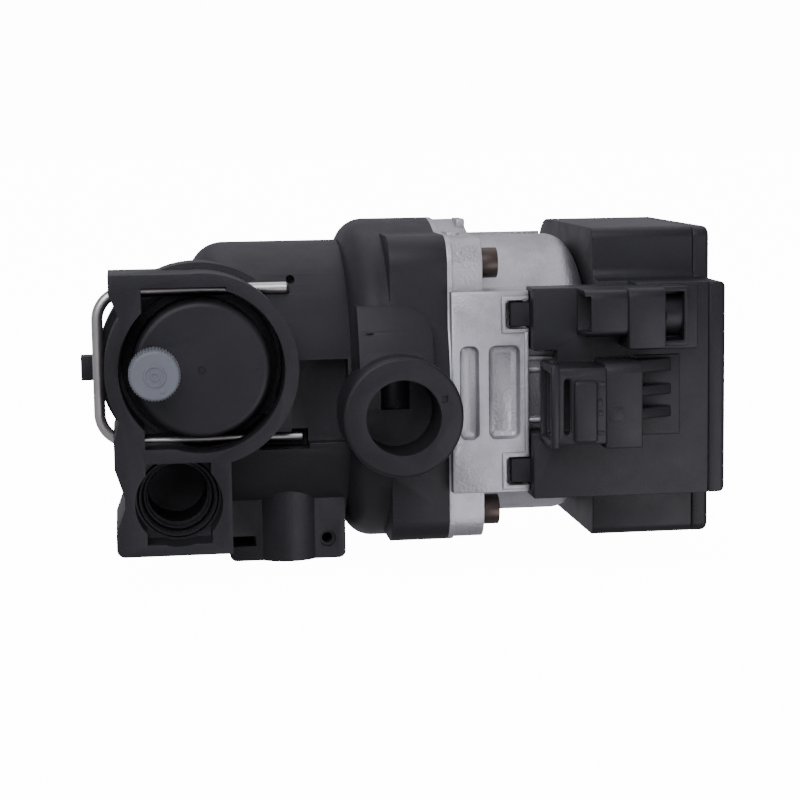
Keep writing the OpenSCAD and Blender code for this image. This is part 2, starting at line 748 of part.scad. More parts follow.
// the box behind the motor, with the socket panel along its front
module box_base() color([0.09, 0.09, 0.1]) difference() {
    union() {
        end_plate(box_x0, box_x1) wide_outline(0);
        difference() {
            box([panel_x0, box_x1], [panel_y, panel_back_y], [-panel_half_h, panel_half_h]);
            // opening round the cable gland boss
            box([panel_x0 - 1, plate_x1 + 8.6], [panel_y + 5, 0], [-11.4, 11.6]);
            box([panel_x0 - 1, plate_x1 + 7], [panel_y - 1, 0], [-11.4, 11.6]);
        }
        box([box_x0, box_x1], [panel_back_y - 1, -box_front + 3], [-panel_half_h, panel_half_h]);
        // hooks through the plate's notches
        for (z = [21.3, -22.3]) box([plate_x1 - 5, panel_x0 + 2], [-(plate_reach - 0.5), -(plate_reach - 3)], [z - 3.4, z + 3.4]);
    }
    end_plate(box_x0 + box_wall, box_x1 + eps) wide_outline(box_wall);
    difference() {
        box([panel_x0 + box_wall, box_x1 + eps], [panel_y + box_wall, panel_back_y - box_wall],
            [-panel_half_h + box_wall, panel_half_h - box_wall]);
        box([panel_x0, plate_x1 + 10.6], [panel_y - 1, 0], [-13.4, 13.6]);
    }
    box([box_x0 + box_wall, box_x1 + eps], [panel_y + box_wall, -box_front + 4],
        [-panel_half_h + box_wall, panel_half_h - box_wall]);
    along_x(box_x0 - 1, box_x0 + box_wall + 1, 8);
}

module cover_outline(inset) {
    wide_outline(inset);
    rect([panel_y + inset, -box_front + 5], [-panel_half_h + inset, panel_half_h - inset]);
}

module box_cover() color([0.1, 0.1, 0.11]) difference() {
    end_plate(box_x1, cover_x1) cover_outline(0);
    end_plate(box_x1 - eps, cover_x1 - box_wall) cover_outline(box_wall);
    along_x_at(box_x1 - 1, cover_x1 + 1, button_y, 0, button_r + 0.2);
    box([cover_x1 - box_wall - 1, cover_x1 + 1], [-18, -8], [-6, 6]);
}

module along_x_at(x0, x1, y, z, r) translate([0, y, z]) along_x(x0, x1, r);

module display_window() color([0.75, 0.78, 0.8, 0.6])
    box([cover_x1 - box_wall, cover_x1], [-18, -8], [-6, 6]);

module push_button() color([0.35, 0.37, 0.4]) {
    inside = cover_x1 - box_wall;
    along_x_at(inside - 0.5, cover_x1 + 0.8, button_y, 0, button_r);
    along_x_at(inside - 1.5, inside - 0.2, button_y, 0, button_r + 1);
    along_x_at(board_x + board_t + switch_h + 0.7, inside - 1, button_y, 0, 1.5);
}

module tact_switch() color([0.3, 0.3, 0.32])
    box([board_x + board_t, board_x + board_t + switch_h], [button_y - 3, button_y + 3], [-3, 3]);

module circuit_board() color([0.08, 0.3, 0.16]) difference() {
    end_plate(board_x, board_x + board_t) wide_outline(box_wall + 2);
    for (y = [-24, 34], z = [-33, 33]) along_x_at(board_x - 1, board_x + 4, y, z, 1.6);
}

module capacitors() color([0.2, 0.22, 0.3])
    for (p = [[25, 20], [25, 4], [25, -12]]) along_x_at(board_x - 14, board_x, p[0], p[1], 6.5);

// socket for the mains plug, its mouth towards the pump
module power_socket() color([0.08, 0.08, 0.09]) {
    x0 = power_x0;
    difference() {
        box([x0, x0 + 24], [panel_y - 16, panel_y], [power_z - 10.6, power_z + 10.6]);
        box([x0 - 1, x0 + 18], [panel_y - 13.5, panel_y - 2.5], [power_z - 8, power_z + 8]);
    }
    box([x0 + 24, x0 + 34], [panel_y - 8, panel_y], [power_z - 6, power_z + 8]);
}

module power_pins() color([0.82, 0.8, 0.72])
    for (z = [-5, 0, 5]) box([power_x0 + 6, power_x0 + 18], [panel_y - 8.6, panel_y - 7.8],
        [power_z + z - 1.2, power_z + z + 1.2]);

// socket for the signal plug
module signal_socket() color([0.08, 0.08, 0.09]) {
    x0 = signal_x0;
    difference() {
        box([x0, x0 + 23], [panel_y - 12, panel_y], [signal_z - 6.5, signal_z + 6.5]);
        box([x0 - 1, x0 + 11], [panel_y - 10, panel_y - 2], [signal_z - 4.5, signal_z + 4.5]);
    }
}

module signal_pins() color([0.85, 0.75, 0.4])
    for (z = [-2.5, 0, 2.5]) box([signal_x0 + 4, signal_x0 + 11], [panel_y - 6.4, panel_y - 5.6],
        [signal_z + z - 0.4, signal_z + z + 0.4]);

separator_housing();
volute_housing();
vent_lid();
lid_o_ring();
vent_clip();
vent_cap();
cap_washer();
valve_pin();
valve_seal();
vent_float();
float_lever();
lever_pin();
side_plug();
wear_ring();
impeller();
shaft();
thrust_collar();
rotor_magnet();
bearing_plate();
front_bearing();
rear_bearing();
flange_gasket();
rotor_can();
stator_core();
stator_windings();
motor_housing();
housing_screws();
box_base();
box_cover();
circuit_board();
capacitors();
power_socket();
power_pins();
signal_socket();
signal_pins();
push_button();
tact_switch();
display_window();
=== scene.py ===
"""Looks of a boiler circulating pump on a composite hydraulic block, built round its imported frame."""
import json
import logging
import math
from dataclasses import dataclass, field
from enum import Enum
from typing import Callable

import bpy
from mathutils import Matrix, Vector

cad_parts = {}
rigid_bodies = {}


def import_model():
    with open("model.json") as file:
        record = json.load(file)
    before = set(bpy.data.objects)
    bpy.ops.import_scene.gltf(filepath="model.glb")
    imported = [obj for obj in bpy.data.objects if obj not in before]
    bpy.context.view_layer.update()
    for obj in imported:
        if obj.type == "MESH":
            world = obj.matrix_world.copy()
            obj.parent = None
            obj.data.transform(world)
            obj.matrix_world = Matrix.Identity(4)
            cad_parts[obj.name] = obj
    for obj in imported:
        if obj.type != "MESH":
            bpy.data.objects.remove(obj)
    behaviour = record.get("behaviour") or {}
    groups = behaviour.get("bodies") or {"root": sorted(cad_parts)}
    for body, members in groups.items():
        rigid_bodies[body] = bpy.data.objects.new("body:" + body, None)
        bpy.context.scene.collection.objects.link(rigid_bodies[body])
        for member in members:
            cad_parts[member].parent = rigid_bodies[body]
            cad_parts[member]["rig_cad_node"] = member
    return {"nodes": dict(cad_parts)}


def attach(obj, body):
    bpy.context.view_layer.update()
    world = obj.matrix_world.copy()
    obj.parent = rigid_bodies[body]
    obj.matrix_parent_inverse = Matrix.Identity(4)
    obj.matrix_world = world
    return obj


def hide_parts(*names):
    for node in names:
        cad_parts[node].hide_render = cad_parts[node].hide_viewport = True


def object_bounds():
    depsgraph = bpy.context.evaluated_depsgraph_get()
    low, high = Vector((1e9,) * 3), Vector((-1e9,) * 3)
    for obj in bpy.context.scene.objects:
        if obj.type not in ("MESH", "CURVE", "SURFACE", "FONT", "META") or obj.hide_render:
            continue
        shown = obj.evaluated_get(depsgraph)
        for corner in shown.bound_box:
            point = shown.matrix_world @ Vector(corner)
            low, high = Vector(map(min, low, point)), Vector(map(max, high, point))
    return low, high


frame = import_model()
LOG = logging.getLogger("pump")
CAD_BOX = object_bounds()
MM = 0.001
# distances, in metres, under which two things count as being at one place
MERGE = 0.000002
CAD_MERGE = 0.000004
ON_LINE = 2e-5
ON_PLACE = 4e-5
ON_CIRCLE = 8e-5
# CAD faces that meet at less than this many degrees become one face
FLAT_DEG = 0.4


class Axis(Enum):
    """The row axis that a turned piece is turned about."""

    X = (0, 90, 0)
    Y = (-90, 0, 0)
    Z = (0, 0, 0)

    @property
    def vector(self) -> Vector:
        """Unit vector along the axis."""
        return {"X": Vector((1, 0, 0)), "Y": Vector((0, 1, 0)), "Z": Vector((0, 0, 1))}[self.name]

    @property
    def rotation(self) -> tuple[float, float, float]:
        """Euler angles that turn a primitive's Z onto the axis."""
        return tuple(math.radians(a) for a in self.value)


# ---------------------------------------------------------------- finishes


class NodeBook:
    """Adds shader nodes to one material and links them by name."""

    def __init__(self, name: str) -> None:
        """Makes an empty node material.

        Args:
            name: the material's name.
        """
        self.material = bpy.data.materials.new(name)
        self.material.use_nodes = True
        self.tree = self.material.node_tree
        self.shader = self.tree.nodes["Principled BSDF"]
        self.place = self.tree.nodes.new("ShaderNodeTexCoord").outputs["Object"]

    def add(self, kind: str, **inputs) -> bpy.types.Node:
        """Adds a node and fills its inputs.

        Args:
            kind: the node's type name without its ShaderNode prefix.
            inputs: socket values or output sockets, by socket name with _ for a space.

        Returns:
            The new node.
        """
        node = self.tree.nodes.new("ShaderNode" + kind)
        for key, value in inputs.items():
            self.feed(node.inputs[key.replace("_", " ")], value)
        return node

    def feed(self, socket: bpy.types.NodeSocket, value) -> None:
        """Links an output to a socket, or sets the socket's own value."""
        if isinstance(value, bpy.types.NodeSocket):
            self.tree.links.new(value, socket)
        else:
            socket.default_value = value

    def noise(self, per_metre: float, detail: float = 3.0, rough: float = 0.55) -> bpy.types.NodeSocket:
        """A noise value between 0 and 1 with features of about 1 / per_metre."""
        return self.add("TexNoise", Vector=self.place, Scale=per_metre, Detail=detail, Roughness=rough).outputs[0]

    def ramp(self, fac: bpy.types.NodeSocket, stops: list[tuple[float, tuple]]) -> bpy.types.NodeSocket:
        """A colour ramp over a value.

        Args:
            fac: the value.
            stops: positions and RGB colours, in order.

        Returns:
            The colour output.
        """
        node = self.add("ValToRGB", Fac=fac)
        elements = node.color_ramp.elements
        while len(elements) < len(stops):
            elements.new(1.0)
        for element, (position, colour) in zip(elements, stops):
            element.position = position
            element.color = (*colour, 1.0)
        return node.outputs[0]

    def span(self, fac: bpy.types.NodeSocket, low: float, high: float) -> bpy.types.NodeSocket:
        """Maps a 0 to 1 value onto low to high."""
        node = self.add("MapRange", Value=fac)
        node.inputs["To Min"].default_value = low
        node.inputs["To Max"].default_value = high
        return node.outputs[0]

    def bump(self, height: bpy.types.NodeSocket, depth_mm: float, strength: float = 1.0,
             below: bpy.types.NodeSocket | None = None) -> bpy.types.NodeSocket:
        """A bump of a given depth, optionally on top of another."""
        node = self.add("Bump", Height=height, Strength=strength, Distance=depth_mm * MM)
        if below is not None:
            self.feed(node.inputs["Normal"], below)
        return node.outputs[0]


def shade(colour: tuple[float, float, float], factor: float) -> tuple[float, float, float]:
    """A colour made lighter or darker by a factor."""
    return tuple(min(1.0, c * factor) for c in colour)


@dataclass(frozen=True)
class MouldedPlastic:
    """Injection-moulded plastic: mottled colour, spark-eroded grain and a satin sheen."""

    name: str
    colour: tuple[float, float, float]
    roughness: float = 0.5
    grain_mm: float = 0.35
    grain_depth_mm: float = 0.02
    mottle: float = 0.18
    specular: float = 0.45

    def build(self) -> bpy.types.Material:
        """Makes the material."""
        book = NodeBook(self.name)
        cloud = book.noise(38.0, 4.0)
        grain = book.noise(1000.0 / self.grain_mm, 2.0)
        flow = book.noise(130.0, 3.0)
        low, high = shade(self.colour, 1 - self.mottle), shade(self.colour, 1 + self.mottle)
        book.feed(book.shader.inputs["Base Color"], book.ramp(cloud, [(0.32, low), (0.68, high)]))
        book.feed(book.shader.inputs["Roughness"],
                  book.span(flow, self.roughness - 0.09, self.roughness + 0.09))
        book.shader.inputs["Specular IOR Level"].default_value = self.specular
        waves = book.bump(flow, 0.05, 0.25)
        book.feed(book.shader.inputs["Normal"], book.bump(grain, self.grain_depth_mm, 0.8, waves))
        return book.material


@dataclass(frozen=True)
class CastAluminium:
    """Shot-blasted aluminium die casting with a sparkling grain and dull patches."""

    name: str
    colour: tuple[float, float, float] = (0.5, 0.5, 0.515)
    grain_mm: float = 0.3

    def build(self) -> bpy.types.Material:
        """Makes the material."""
        book = NodeBook(self.name)
        cloud = book.noise(55.0, 5.0, 0.6)
        grain = book.noise(1000.0 / self.grain_mm, 3.0, 0.7)
        pits = book.add("TexVoronoi", Vector=book.place, Scale=1150.0).outputs["Distance"]
        book.feed(book.shader.inputs["Base Color"], book.ramp(
            cloud, [(0.28, shade(self.colour, 0.7)), (0.52, self.colour), (0.75, shade(self.colour, 1.15))]))
        book.feed(book.shader.inputs["Roughness"], book.span(grain, 0.26, 0.6))
        book.shader.inputs["Metallic"].default_value = 0.92
        coarse = book.bump(pits, 0.09, 0.8)
        book.feed(book.shader.inputs["Normal"], book.bump(grain, 0.1, 1.0, coarse))
        return book.material


@dataclass(frozen=True)
class DrawnMetal:
    """Drawn, ground or plated metal with fine streaks along one axis."""

    name: str
    colour: tuple[float, float, float]
    roughness: float = 0.28
    streak: tuple[float, float, float] = (60.0, 2600.0, 2600.0)
    metallic: float = 1.0

    def build(self) -> bpy.types.Material:
        """Makes the material."""
        book = NodeBook(self.name)
        stretched = book.add("Mapping", Vector=book.place, Scale=self.streak).outputs[0]
        lines = book.add("TexNoise", Vector=stretched, Scale=1.0, Detail=3.0).outputs[0]
        cloud = book.noise(90.0, 3.0)
        book.feed(book.shader.inputs["Base Color"], book.ramp(
            cloud, [(0.3, shade(self.colour, 0.84)), (0.7, shade(self.colour, 1.08))]))
        book.feed(book.shader.inputs["Roughness"], book.span(lines, self.roughness - 0.08, self.roughness + 0.12))
        book.shader.inputs["Metallic"].default_value = self.metallic
        book.feed(book.shader.inputs["Normal"], book.bump(lines, 0.01, 0.5))
        return book.material


@dataclass(frozen=True)
class SmokedGlass:
    """A tinted window with a faint haze."""

    name: str
    colour: tuple[float, float, float] = (0.25, 0.27, 0.29)

    def build(self) -> bpy.types.Material:
        """Makes the material."""
        book = NodeBook(self.name)
        haze = book.noise(220.0, 3.0)
        book.feed(book.shader.inputs["Base Color"], book.ramp(
            haze, [(0.3, shade(self.colour, 0.85)), (0.7, shade(self.colour, 1.15))]))
        book.feed(book.shader.inputs["Roughness"], book.span(haze, 0.08, 0.2))
        book.shader.inputs["Transmission Weight"].default_value = 0.6
        return book.material


class Finish(Enum):
    """Every finish on the pump, with the recipe that makes it."""

    COMPOSITE = MouldedPlastic("black_composite", (0.017, 0.0168, 0.02), 0.5, 0.4, 0.03, 0.2, 0.3)
    LID = MouldedPlastic("lid_plastic", (0.0155, 0.0153, 0.0185), 0.48, 0.3, 0.016, 0.16, 0.3)
    BOX = MouldedPlastic("box_plastic", (0.0155, 0.0154, 0.0185), 0.46, 0.45, 0.03, 0.2, 0.32)
    CAP = MouldedPlastic("grey_cap", (0.16, 0.171, 0.192), 0.55, 0.4, 0.016, 0.08, 0.3)
    BUTTON = MouldedPlastic("button_plastic", (0.09, 0.1, 0.11), 0.5, 0.3, 0.015, 0.1)
    NATURAL = MouldedPlastic("valve_plastic", (0.66, 0.64, 0.56), 0.42, 0.3, 0.01, 0.06)
    IMPELLER = MouldedPlastic("impeller_plastic", (0.55, 0.46, 0.28), 0.45, 0.4, 0.02, 0.12)
    RUBBER = MouldedPlastic("seal_rubber", (0.012, 0.012, 0.012), 0.62, 0.25, 0.02, 0.3, 0.3)
    CARBON = MouldedPlastic("carbon", (0.03, 0.03, 0.032), 0.35, 0.2, 0.01, 0.2)
    CERAMIC = MouldedPlastic("ceramic", (0.78, 0.78, 0.75), 0.15, 0.2, 0.003, 0.04, 0.6)
    BOARD = MouldedPlastic("circuit_green", (0.01, 0.09, 0.03), 0.25, 0.6, 0.02, 0.2, 0.6)
    COMPONENT = MouldedPlastic("component_case", (0.02, 0.022, 0.03), 0.3, 0.4, 0.01, 0.2)
    ALUMINIUM = CastAluminium("cast_aluminium")
    WIRE = DrawnMetal("spring_steel", (0.6, 0.585, 0.57), 0.3, (120.0, 3000.0, 3000.0))
    STAINLESS = DrawnMetal("stainless", (0.62, 0.62, 0.63), 0.25)
    ROTOR = DrawnMetal("rotor_steel", (0.3, 0.3, 0.31), 0.4)
    COPPER = DrawnMetal("copper", (0.62, 0.26, 0.11), 0.35, (2600.0, 60.0, 2600.0))
    CONTACT = DrawnMetal("contact_metal", (0.7, 0.6, 0.36), 0.25)
    SCREW = DrawnMetal("black_oxide", (0.085, 0.066, 0.057), 0.38, (400.0, 1500.0, 1500.0), 0.75)
    WINDOW = SmokedGlass("window")

    def dress(self, *pieces: bpy.types.Object) -> None:
        """Gives pieces this finish, as their only material."""
        material = bpy.data.materials.get("finish_" + self.value.name)
        if material is None:
            material = self.value.build()
            material.name = "finish_" + self.value.name
        for piece in pieces:
            piece.data.materials.clear()
            piece.data.materials.append(material)


# ---------------------------------------------------------------- the workbench


class Bench:
    """Modelling steps that the sub-assemblies share."""

    @staticmethod
    def clear() -> None:
        """Leaves edit mode and deselects everything."""
        if bpy.context.object and bpy.context.object.mode != "OBJECT":
            bpy.ops.object.mode_set(mode="OBJECT")
        bpy.ops.object.select_all(action="DESELECT")

    @staticmethod
    def pick(piece: bpy.types.Object) -> None:
        """Makes a piece the only selected and active object."""
        Bench.clear()
        piece.select_set(True)
        bpy.context.view_layer.objects.active = piece

    @staticmethod
    def settle(name: str) -> bpy.types.Object:
        """Names the active object and puts its place into its mesh.

        Args:
            name: the piece's name.

        Returns:
            The piece.
        """
        piece = bpy.context.object
        piece.name = name
        piece.data.name = name
        bpy.ops.object.transform_apply(location=True, rotation=True, scale=True)
        return piece

    @staticmethod
    def tidy_mesh(piece: bpy.types.Object) -> None:
        """Merges doubles and points the faces outwards."""
        Bench.pick(piece)
        bpy.ops.object.mode_set(mode="EDIT")
        bpy.ops.mesh.select_all(action="SELECT")
        bpy.ops.mesh.remove_doubles(threshold=MERGE)
        bpy.ops.mesh.normals_make_consistent(inside=False)
        bpy.ops.object.mode_set(mode="OBJECT")

    @staticmethod
    def apply(piece: bpy.types.Object, kind: str, **settings) -> None:
        """Adds a modifier, fills its settings and applies it."""
        Bench.pick(piece)
        modifier = piece.modifiers.new(kind.lower(), kind)
        for key, value in settings.items():
            setattr(modifier, key, value)
        bpy.ops.object.modifier_apply(modifier=modifier.name)

    @staticmethod
    def soften(piece: bpy.types.Object, width: float, segments: int = 3, angle: float = 32.0) -> None:
        """Rounds the edges sharper than an angle and smooths the shading."""
        Bench.apply(piece, "BEVEL", width=width, segments=segments, limit_method="ANGLE",
                    angle_limit=math.radians(angle), harden_normals=False, use_clamp_overlap=True,
                    miter_outer="MITER_ARC")
        Bench.smooth(piece)

    @staticmethod
    def smooth(piece: bpy.types.Object, angle: float = 38.0) -> None:
        """Smooth shading across edges flatter than an angle."""
        Bench.pick(piece)
        bpy.ops.object.shade_smooth_by_angle(angle=math.radians(angle))

    @staticmethod
    def block(name: str, low: Vector, high: Vector, edge: float = 0.0003, segments: int = 3) -> bpy.types.Object:
        """A block between two corners with rounded edges."""
        low, high = Vector(low), Vector(high)
        Bench.clear()
        bpy.ops.mesh.primitive_cube_add(size=1, location=(low + high) / 2, scale=high - low)
        piece = Bench.settle(name)
        if edge:
            Bench.soften(piece, edge, segments)
        return piece

    @staticmethod
    def turned(name: str, centre: Vector, axis: Axis, profile: list[tuple[float, float]],
               segments: int = 96, closed: bool = False) -> bpy.types.Object:
        """A piece turned about an axis.

        Args:
            name: the piece's name.
            centre: a point on the axis, from which the profile's heights count.
            axis: the axis.
            profile: radius and height of each station, in order.
            segments: sides of the turning.
            closed: whether the profile returns to its first station, as round a bore.

        Returns:
            The piece.
        """
        Bench.clear()
        centre = Vector(centre)
        radius, height = profile[0]
        bpy.ops.mesh.primitive_circle_add(
            vertices=segments, radius=radius, location=centre + axis.vector * height,
            rotation=axis.rotation, fill_type="NOTHING" if closed else "NGON")
        bpy.ops.object.mode_set(mode="EDIT")
        bpy.ops.mesh.select_all(action="SELECT")
        for next_radius, next_height in profile[1:]:
            step = axis.vector * (next_height - height)
            bpy.ops.mesh.extrude_region_move(TRANSFORM_OT_translate={"value": step})
            if abs(next_radius - radius) > 1e-9:
                ratio = next_radius / radius
                scale = [ratio + (1 - ratio) * abs(k) for k in axis.vector]
                bpy.ops.transform.resize(value=scale, center_override=centre + axis.vector * next_height)
            radius, height = next_radius, next_height
        bpy.ops.object.mode_set(mode="OBJECT")
        piece = Bench.settle(name)
        Bench.tidy_mesh(piece)
        Bench.smooth(piece)
        return piece

    @staticmethod
    def round_where(piece: bpy.types.Object, width: float, segments: int,
                    chosen: Callable[[Vector, Vector], bool]) -> None:
        """Bevels the edges whose two ends pass a test.

        Args:
            piece: the piece.
            width: width of the bevel, in metres.
            segments: its steps, 1 for a chamfer.
            chosen: takes an edge's two ends and says whether the edge is bevelled.
        """
        Bench.pick(piece)
        bpy.ops.object.mode_set(mode="EDIT")
        bpy.ops.mesh.select_mode(type="EDGE")
        bpy.ops.mesh.select_all(action="DESELECT")
        bpy.ops.object.mode_set(mode="OBJECT")
        corners = piece.data.vertices
        count = 0
        for edge in piece.data.edges:
            edge.select = chosen(corners[edge.vertices[0]].co, corners[edge.vertices[1]].co)
            count += edge.select
        bpy.ops.object.mode_set(mode="EDIT")
        if count:
            bpy.ops.mesh.bevel(offset=width, segments=segments, affect="EDGES", clamp_overlap=True)
        bpy.ops.object.mode_set(mode="OBJECT")
        LOG.debug("%s: %d edges rounded", piece.name, count)

    @staticmethod
    def frame_of(name: str, low: Vector, high: Vector, hole_low: Vector, hole_high: Vector,
                 edge: float = 0.0003) -> bpy.types.Object:
        """A block with a block cut out of it."""
        piece = Bench.block(name, low, high, 0)
        Bench.combine(piece, [Bench.block(name + "_hole", hole_low, hole_high, 0)], "DIFFERENCE")
        if edge:
            Bench.soften(piece, edge, 2)
        return piece

    @staticmethod
    def copy_of(node: str, name: str) -> bpy.types.Object:
        """A merged copy of a CAD node's mesh with its flat faces dissolved, as a new piece."""
        Bench.clear()
        source = frame["nodes"][node]
        piece = bpy.data.objects.new(name, source.data.copy())
        piece.data.name = name
        bpy.context.scene.collection.objects.link(piece)
        piece.data.materials.clear()
        Bench.pick(piece)
        bpy.ops.object.mode_set(mode="EDIT")
        bpy.ops.mesh.select_all(action="SELECT")
        bpy.ops.mesh.remove_doubles(threshold=CAD_MERGE)
        bpy.ops.mesh.dissolve_limited(angle_limit=math.radians(FLAT_DEG))
        bpy.ops.object.mode_set(mode="OBJECT")
        return piece

    @staticmethod
    def combine(piece: bpy.types.Object, others: list[bpy.types.Object], operation: str) -> bpy.types.Object:
        """Joins, cuts or crosses a piece with others by boolean, and removes the others."""
        for other in others:
            Bench.apply(piece, "BOOLEAN", operation=operation, solver="EXACT", object=other)
            bpy.data.objects.remove(other)
        return piece

    @staticmethod
    def merge(name: str, pieces: list[bpy.types.Object]) -> bpy.types.Object:
        """Joins several shells into one object."""
        Bench.clear()
        for piece in pieces:
            piece.select_set(True)
        bpy.context.view_layer.objects.active = pieces[0]
        bpy.ops.object.join()
        pieces[0].name = name
        pieces[0].data.name = name
        return pieces[0]


class SubAssembly:
    """A group of pieces that are built and dressed together."""

    body = "pump"

    def install(self, piece: bpy.types.Object, finish: Finish, *nodes: str, body: str | None = None) -> None:
        """Dresses a piece, sets it on its body and hides the CAD nodes that it replaces.

        Args:
            piece: the piece.
            finish: its finish.
            nodes: the CAD nodes that it replaces.
            body: its body, when it isn't this sub-assembly's own.
        """
        finish.dress(piece)
        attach(piece, body or self.body)
        if nodes:
            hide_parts(*nodes)
        LOG.info("%s: %d faces, %s", piece.name, len(piece.data.polygons), finish.name)

    def build(self) -> None:
        """Builds every piece of the sub-assembly."""
        raise NotImplementedError


def mm(x: float, y: float, z: float) -> Vector:
    """A point given in millimetres."""
    return Vector((x, y, z)) * MM


def along(a: Vector, b: Vector, axis: int) -> bool:
    """Whether an edge runs along an axis."""
    return all(abs(a[i] - b[i]) < ON_LINE for i in range(3) if i != axis)


def near(value: float, target_mm: float, slack: float = ON_PLACE) -> bool:
    """Whether a coordinate in metres is at a place in millimetres."""
    return abs(value - target_mm * MM) < slack


def on_circle(point: Vector, centre: tuple[float, float], radius: float) -> bool:
    """Whether a point lies on a circle round an axis along Y, in millimetres."""
    return abs(math.hypot(point.x - centre[0] * MM, point.z - centre[1] * MM) - radius * MM) < ON_CIRCLE


@dataclass
class HydraulicBlock(SubAssembly):
    """The black composite mouldings: separator with ports and foot, the volute and the plug."""

    edge: float = 0.0004
    outlet_z: float = -5.0
    outlet_r: float = 16.5
    outlet_bore_r: float = 10.3
    outlet_face_y: float = -58.0
    port: tuple[float, float] = (-60.7, -28.5)
    port_block_x: float = -78.0
    port_block_low: float = -0.042
    gate: tuple[float, float] = (-27.5, 31.0)
    bulge_low: tuple[float, float, float] = (-10.8, -52.0, -4.0)
    bulge_high: tuple[float, float, float] = (9.6, -28.0, 24.2)
    drum_y: float = -3.2
    drum_r: float = 47.0

    def build(self) -> None:
        """Builds the housings."""
        self.separator()
        self.volute()
        plug = Bench.copy_of("side_plug", "side_plug_moulding")
        Bench.soften(plug, 0.0006, 3)
        self.install(plug, Finish.LID, "side_plug")

    def separator(self) -> None:
        """The separator moulding with its port lips, gate mark and clip slots."""
        piece = Bench.copy_of("separator_housing", "separator_moulding")
        x, z = self.port
        lips = [
            Bench.turned("port_lip", mm(x, 0, z), Axis.Y, [
                (8.7 * MM, -30.2 * MM), (9.0 * MM, -30.7 * MM), (9.5 * MM, -30.7 * MM), (9.8 * MM, -30.2 * MM),
                (10.6 * MM, -29.6 * MM), (10.6 * MM, -28.6 * MM), (8.7 * MM, -28.6 * MM)], 72, closed=True),
            Bench.turned("seat_lip", mm(x, 0, z), Axis.Y, [
                (10.0 * MM, -34.4 * MM), (10.3 * MM, -34.9 * MM), (10.9 * MM, -34.9 * MM), (11.3 * MM, -34.2 * MM),
                (11.3 * MM, -33.6 * MM), (10.0 * MM, -33.6 * MM)], 72, closed=True)]
        gate = Bench.turned("gate_mark", mm(self.gate[0], 0, self.gate[1]), Axis.Y,
                            [(1.5 * MM, -30 * MM), (0.9 * MM, -21.6 * MM)], 24)
        Bench.combine(piece, [gate], "DIFFERENCE")
        Bench.round_where(piece, 0.0022, 4, lambda a, b: along(a, b, 1) and near(a.x, self.port_block_x)
                          and a.z < self.port_block_low)
        Bench.soften(piece, self.edge, 3)
        piece = Bench.merge("separator_moulding", [piece, *lips])
        self.install(piece, Finish.COMPOSITE, "separator_housing")

    def volute(self) -> None:
        """The volute with the outlet's rounded mouth and the bulge that feeds it."""
        piece = Bench.copy_of("volute_housing", "volute_moulding")
        bulge = Bench.block("outlet_bulge", mm(*self.bulge_low), mm(*self.bulge_high), 0)
        right, _, top = self.bulge_high
        Bench.round_where(bulge, 0.0085, 8, lambda a, b: along(a, b, 1) and near(a.x, right) and near(a.z, top))
        drum_r = self.drum_r * MM
        drum = Bench.turned("bulge_drum", mm(0, self.drum_y, 0), Axis.X, [(drum_r, -20 * MM), (drum_r, 20 * MM)], 144)
        Bench.combine(bulge, [drum], "INTERSECT")
        bore_r = (self.outlet_bore_r + 0.4) * MM
        bore = Bench.turned("bulge_bore", mm(0, 0, self.outlet_z), Axis.Y, [(bore_r, -62 * MM), (bore_r, -20 * MM)], 96)
        Bench.combine(bulge, [bore], "DIFFERENCE")
        Bench.combine(piece, [bulge], "UNION")
        cuts = [
            Bench.block("nick", mm(10.2, -58.5, -1.2), mm(12.0, -57.2, 0.8), 0),
            Bench.block("nick", mm(5.2, -58.5, 11.2), mm(7.2, -57.5, 12.0), 0),
            Bench.block("parting_groove", mm(9.2, -43.6, 10.6), mm(14.4, -42.8, 10.9), 0),
            Bench.block("gate_scar", mm(-8.4, -47.4, 16.6), mm(-6.6, -46.3, 17.2), 0)]
        Bench.combine(piece, cuts, "DIFFERENCE")
        centre = (0.0, self.outlet_z)
        Bench.round_where(piece, 0.0011, 4, lambda a, b: all(
            near(p.y, self.outlet_face_y) and on_circle(p, centre, self.outlet_r) for p in (a, b)))
        Bench.soften(piece, self.edge, 3)
        self.install(piece, Finish.COMPOSITE, "volute_housing")


